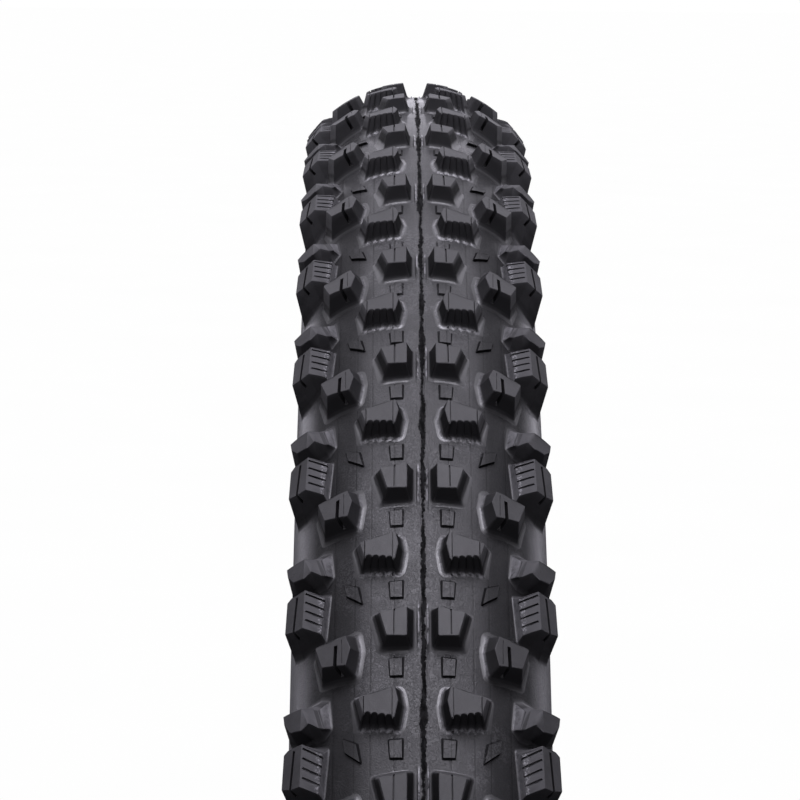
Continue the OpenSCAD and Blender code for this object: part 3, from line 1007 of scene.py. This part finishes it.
def chafer_profile():
    """From the bead face around the heel and under the bead to the toe, then back around the wire bundle."""
    core_r, ply = 1.5, 0.5
    wrap = core_r + ply
    core_y = BEAD_FACE_Y - SIDE_T - 2 * ply - core_r
    core_h = BEAD_R + SIDE_T + wrap
    liner_y = core_y - wrap - LINER_T
    end_h = core_h - 0.3
    heel, toe = 1.0, 0.6
    out = [section_point(x)[0] for x in np.arange(CHAFER_TOP, BEAD_TOP + 0.01, 1.0)]
    out += [[BEAD_R + heel - heel * math.sin(a), BEAD_FACE_Y - heel + heel * math.cos(a)]
            for a in np.radians(np.arange(0, 90.1, 11.25))]
    out += [[BEAD_R, y] for y in (13, 12, 11)]
    out += [[BEAD_R, liner_y + toe], [BEAD_R + 0.45 * toe, liner_y + 0.2 * toe], [BEAD_R + 2 * toe, liner_y],
            [end_h, liner_y], [end_h, core_y - wrap]]
    out += [[core_h - wrap * math.sin(a), core_y + wrap * math.cos(a)]
            for a in np.radians(np.arange(165, -0.1, -15))]
    for x in np.arange(BEAD_TOP, CHAFER_TOP - 0.1, -5.0):
        p, q = section_point(x)
        out.append(p - q * SIDE_T)
    return out


ring_pair("sidewall", lathe(sidewall_profile(), PITCHES * 12), M_SIDE)
ring_pair("chafer", lathe(chafer_profile(), PITCHES * 12), M_CHAFER, 40)

# ---- Knobs: corners as distance or station, turn, and height or fillet width ----


def foot(y, turn, width):
    """A foot corner of a centre knob, by its lateral distance."""
    return base(station_at(y), turn, width)


def wide_knob():
    """A wide centre knob: four teeth in its front, and a shallow groove along each side of its top."""
    body = knob(
        [tread(6.5, 0.0), tread(13.9, 0.045), tread(15.15, 0.15), tread(6.4, 0.192), tread(5.6, 0.105)],
        [foot(5.2, -0.020, 1.5), foot(14.6, 0.020, 1.5), foot(16.3, 0.212, 0.6), foot(5.0, 0.225, 1.3),
         foot(4.4, 0.118, 1.7)],
        edge_cuts=[28, 4, 6, 3, 3], teeth=(0, 4, 0.62))
    return carved(body, [bar(tread(s, -0.05), tread(s, 0.26), width=0.26, depth=0.4) for s in (6.95, 13.7)])


def narrow_knob():
    """A narrow centre knob with a groove down the middle of its top."""
    body = knob(
        [tread(3.6, 0.495), tread(8.4, 0.507), tread(10.1, 0.664), tread(3.55, 0.682)],
        [foot(2.4, 0.475, 1.4), foot(9.5, 0.487, 1.5), foot(11.8, 0.722, 0.6), foot(2.1, 0.735, 0.8)],
        edge_cuts=[6, 6, 6, 6])
    return carved(body, [bar(tread(6.6, 0.512), tread(6.55, 0.675), width=0.42, depth=0.7)])


def transition_knob():
    """A five-sided knob with a deep slot that is open at the front, and a scribed line beside it."""
    body = knob(
        [tread(18.4, 0.365), tread(24.8, 0.395), tread(26.9, 0.54), tread(18.4, 0.555), tread(17.2, 0.468)],
        [base(28.8, 0.340, 1.4), base(48.0, 0.370, 1.4), base(53.5, 0.585, 1.0), base(28.6, 0.620, 1.5),
         base(27.3, 0.5, 1.6)],
        edge_cuts=[7, 5, 7, 3, 3])
    slot = bar(tread(21.1, 0.51), tread(21.1, 0.2), width=0.95, depth=3.6)
    line = bar(tread(19.25, 0.385), tread(19.4, 0.535), width=0.16, depth=0.25)
    return carved(body, [slot, line])


def block_knob():
    """A long shoulder block: an inner facet with four cuts across it, and a slot between the outer two."""
    body = knob(
        [tread(27.4, 0.667, -2.5), tread(31.1, 0.717), tread(33.9, 0.722), tread(37.65, 0.753),
         tread(37.0, 0.963), tread(35.3, 0.978), tread(30.5, 0.972), tread(26.2, 0.906, -2.5)],
        [base(46, 0.652, 0.8), base(54, 0.665, 0.8), base(62.6, 0.662, 0.9), base(73, 0.72, 1.0),
         base(76, 0.99, 1.0), base(68, 1.03, 1.0), base(56, 1.035, 1.0), base(43.4, 0.965, 0.8)],
        edge_cuts=[4, 3, 4, 6, 3, 4, 4, 6],
        facets=[[0, 1, 6, 7], [1, 2, 5, 6], [2, 3, 4, 5]], radius=0.25)
    corner, along, down = on_tread(np.array([tread(31.1, 0.717), tread(30.8, 0.95), tread(27.0, 0.70, -2.5)]))
    up = np.cross(along - corner, down - corner)
    up = up if up[0] > 0 else -up
    cuts = [bar(tread(34.45, 0.66), tread(33.15, 0.955), width=0.75, depth=2.2)]
    for k in range(4):
        outer, inner = tread(30.35, 0.947 - 0.058 * k, -0.12), tread(25.6, 0.872 - 0.056 * k, -2.75)
        cuts.append(bar(outer, inner, width=0.5, depth=0.8, up=up))
    return carved(body, cuts)


def chevron_knob():
    """A short shoulder knob, bent like a chevron, whose inner part falls away in facets."""
    return knob(
        [tread(25.8, 1.05, -2.5), tread(27.2, 1.06, -2.2), tread(29.2, 1.092, -0.6), tread(31.1, 1.058),
         tread(34.7, 1.077), tread(37.1, 1.151), tread(37.6, 1.213), tread(30.8, 1.196),
         tread(28.7, 1.19, -1.9), tread(27.6, 1.18, -2.3)],
        [base(41.8, 1.078, 0.8), base(46.0, 1.030, 1.0), base(51.0, 1.035, 1.0), base(54, 1.07, 0.8),
         base(64, 1.07, 0.9), base(74, 1.12, 1.0), base(77, 1.25, 1.0), base(57, 1.285, 1.2),
         base(48, 1.29, 1.2), base(43.2, 1.266, 1.0)],
        edge_cuts=[3, 3, 3, 4, 4, 3, 6, 3, 3, 6],
        facets=[[0, 1, 8, 9], [1, 2, 10, 8], [2, 3, 7, 10], [10, 7, 8], [3, 4, 5, 6, 7]],
        extra=[tread(29.1, 1.15, -1.0)], radius=0.3)


wide, narrow, transition, block, chevron = (make() for make in (
    wide_knob, narrow_knob, transition_knob, block_knob, chevron_knob))
piece("center_wide_knobs", around(wide, mirrored(wide)), M_WIDE)
piece("center_narrow_knobs", around(narrow, mirrored(narrow)), M_NARROW)
for side_name, turned in (("left", lambda part: part), ("right", mirrored)):
    for name, part, material in (("transition_knobs_", transition, M_SLOTTED),
                                 ("shoulder_block_knobs_", block, M_RIBBED),
                                 ("shoulder_chevron_knobs_", chevron, M_CHEVRON)):
        piece(name + side_name, around(turned(part)), material)

# ---- Low pads on the tread base ----

PAD_RADIUS = 0.12
PAD_BEVEL = 0.07


def pad(corners, heights, spread, skirts):
    """A thin plate on the casing. corners holds stations and turns, and heights each corner's rise. The foot
    is larger by spread, and skirts holds its fillets' widths."""
    top = [base(a, t, h) for (a, t), h in zip(corners, heights)]
    mid = np.mean(corners, 0)
    feet = []
    for (a, t), skirt in zip(corners, skirts):
        d = np.array([math.radians(a - mid[0]) * CASING_R, (t - mid[1]) * BASE_PITCH])
        d = unit(d) * spread
        feet.append(base(a + math.degrees(d[0] / CASING_R), t + d[1] / BASE_PITCH, skirt))
    return knob(top, feet, [4] * len(corners), radius=PAD_RADIUS, foot_radius=PAD_RADIUS, bevel=PAD_BEVEL,
                on_top=on_base, walls=1)


def centre_pad(low, high):
    """A pad between the centre knobs, from one turn to another, and wider at the far end."""
    corners = [(4.55, low), (7.3, low + 0.006), (7.5, high), (4.6, high)]
    return pad([(station_at(y), t) for y, t in corners], heights=[0.55, 0.55, 0.5, 0.5], spread=0.18,
               skirts=(0.34, 0.34, 0.7, 0.7))


centre_pads = [centre_pad(0.307, 0.42), centre_pad(0.811, 0.921)]
centre_pads = around(*(side for one in centre_pads for side in (one, mirrored(one))))
piece("center_pads", centre_pads, M_PAD)
diamond = pad([(26.4, 0.812), (34.1, 0.898), (35.7, 0.989), (28.6, 0.933)], heights=[0.72, 0.68, 0.42, 0.46],
              spread=0.12, skirts=(0.24, 0.24, 0.5, 0.5))
piece("side_pads_left", around(diamond), M_PAD)
piece("side_pads_right", around(mirrored(diamond)), M_PAD)

# ---- Layers that keep their CAD shape and take a material ----

KEPT = (
    (M_LINER, "butyl_liner", ("inner_liner",)),
    (M_PLY, "casing_fabric", ("carcass_ply_inner", "carcass_ply_outer")),
    (M_WIRE, "bead_wire", ("bead_core_left", "bead_core_right")),
    (M_HARD, "hard_rubber", ("bead_filler_left", "bead_filler_right", "undertread")),
    (M_BELT, "belt_fabric", ("puncture_belt", "sidewall_guard_left", "sidewall_guard_right")),
)
for material, slot_name, node_names in KEPT:
    for node_name in node_names:
        ob = frame["nodes"][node_name]
        ob.data.materials.clear()
        ob.data.materials.append(material)
        ob.data.polygons.foreach_set("use_smooth", np.ones(len(ob.data.polygons), bool))

# ---- Floor, light and camera, in metres ----

FLOOR_GAP = 0.0005
FLOOR_HALF = 60.0
FLOOR_STEPS = 24
TINT = (1.0, 0.975, 1.085)
SIDE_WRAP = 0.35
BACKDROP_EDGE = (-0.8, 0.0)
BACKDROP_LIGHT = (1.25, 0.02)


def floor_paint():
    """Pale to the camera and dark to every other ray, as a studio floor that flags keep off the part."""
    n = Nodes("floor_paint")
    n.set(color=(0.025, 0.025, 0.025, 1), rough=0.8)
    paint = n.add("Emission")
    n.feed(paint.inputs[0], n.mix(n.noise(3, 2, 0.5), (0.985, 0.985, 0.985, 1), (1, 1, 1, 1)))
    ray = n.add("LightPath")
    mix = n.add("MixShader")
    n.link(ray.outputs["Is Camera Ray"], mix.inputs[0])
    n.link(n.bsdf.outputs[0], mix.inputs[1])
    n.link(paint.outputs[0], mix.inputs[2])
    n.link(mix.outputs[0], n.out.inputs[0])
    return n.mat


def floor():
    g = np.linspace(-FLOOR_HALF, FLOOR_HALF, FLOOR_STEPS + 1)
    x, y = np.meshgrid(g, g, indexing="ij")
    verts = np.stack([x, y, np.full_like(x, CAD_BOUNDS[0][2] - FLOOR_GAP)], -1).reshape(-1, 3)
    i, j = np.meshgrid(np.arange(FLOOR_STEPS), np.arange(FLOOR_STEPS), indexing="ij")
    row = FLOOR_STEPS + 1
    k = i * row + j
    quads = np.stack([k, k + row, k + row + 1, k + 1], -1).reshape(-1, 4)
    me = filled_mesh("floor", verts, *flattened(quads))
    me.materials.append(floor_paint())
    placed("floor", me)


def lamp(name, place, target, size, power):
    data = bpy.data.lights.new(name, "AREA")
    data.shape = "RECTANGLE"
    data.size, data.size_y = size
    data.energy = power
    data.color = TINT
    ob = placed(name, data)
    ob.location = place
    ob.rotation_euler = (Vector(target) - Vector(place)).to_track_quat("-Z", "Y").to_euler()


def studio_world():
    """White to the camera. For light, a bright backdrop wraps around behind the tire, and the room behind
    the camera is dark."""
    world = bpy.data.worlds.new("studio")
    bpy.context.scene.world = world
    world.use_nodes = True
    tree = world.node_tree
    tree.nodes.clear()

    def add(kind):
        return tree.nodes.new("ShaderNode" + kind)

    out = add("OutputWorld")
    seen = add("Background")
    seen.inputs[0].default_value = (1, 1, 1, 1)
    unseen = add("Background")
    unseen.inputs[0].default_value = (*TINT, 1)
    look = add("TexCoord")
    axes = add("SeparateXYZ")
    sideways = add("Math")
    sideways.operation = "ABSOLUTE"
    wrap = add("Math")
    wrap.operation = "MULTIPLY_ADD"
    wrap.inputs[1].default_value = -SIDE_WRAP
    fade = add("MapRange")
    fade.interpolation_type = "SMOOTHSTEP"
    for socket, v in zip(fade.inputs[1:], (*BACKDROP_EDGE, *BACKDROP_LIGHT)):
        socket.default_value = v
    path = add("LightPath")
    mix = add("MixShader")
    for a, b in ((look.outputs["Generated"], axes.inputs[0]), (axes.outputs[1], sideways.inputs[0]),
                 (sideways.outputs[0], wrap.inputs[0]), (axes.outputs[0], wrap.inputs[2]),
                 (wrap.outputs[0], fade.inputs[0]), (fade.outputs[0], unseen.inputs[1]),
                 (path.outputs["Is Camera Ray"], mix.inputs[0]), (unseen.outputs[0], mix.inputs[1]),
                 (seen.outputs[0], mix.inputs[2]), (mix.outputs[0], out.inputs[0])):
        tree.links.new(a, b)


# In front of the tread and above it, far away on a long lens; angles are in radians
RANGE = 3.1671 * TIRE_R * MM
RAISED = math.radians(20.242)
LOOK_UP = 0.235797
SIDE_SHIFT = -0.009702 * TIRE_R * MM
YAW = 0.006183
ROLL = -0.001359
IMAGE_ROLL = 0.006325
LENS = 166.97


def camera():
    c, s = math.cos, math.sin
    level = Vector((1, 0, 0))
    ahead = Vector((0, c(LOOK_UP), s(LOOK_UP)))
    above = Vector((0, -s(LOOK_UP), c(LOOK_UP)))
    right = c(IMAGE_ROLL) * level + s(IMAGE_ROLL) * above
    up = -s(IMAGE_ROLL) * level + c(IMAGE_ROLL) * above
    roll = Matrix(((c(ROLL), 0, s(ROLL)), (0, 1, 0), (-s(ROLL), 0, c(ROLL))))
    yaw = Matrix(((c(YAW), -s(YAW), 0), (s(YAW), c(YAW), 0), (0, 0, 1)))
    back = (yaw @ roll).transposed()
    # Lateral, away from the camera and up, turned into the row frame with the camera raised over the axle
    turn = Matrix(((0, -c(RAISED), -s(RAISED)), (1, 0, 0), (0, -s(RAISED), c(RAISED))))
    right, ahead, up = (turn @ (back @ v) for v in (right, ahead, up))
    data = bpy.data.cameras.new("camera")
    data.lens = LENS
    data.sensor_width = 36
    data.clip_end = 200
    pose = Matrix((right, up, -ahead)).transposed().to_4x4()
    pose.translation = turn @ (back @ Vector((SIDE_SHIFT, -RANGE, 0)))
    ob = placed("camera", data)
    ob.matrix_world = pose
    bpy.context.scene.camera = ob


floor()
lamp("key_box", place=(0.64, 0.0, 2.3), target=(0.20, 0, 0.2), size=(2.2, 1.2), power=63)
lamp("fill_box", place=(1.60, 0.0, 1.05), target=(0.20, 0, 0.25), size=(1.2, 0.5), power=5.6)
studio_world()
camera()
bpy.context.scene.view_settings.view_transform = "Standard"
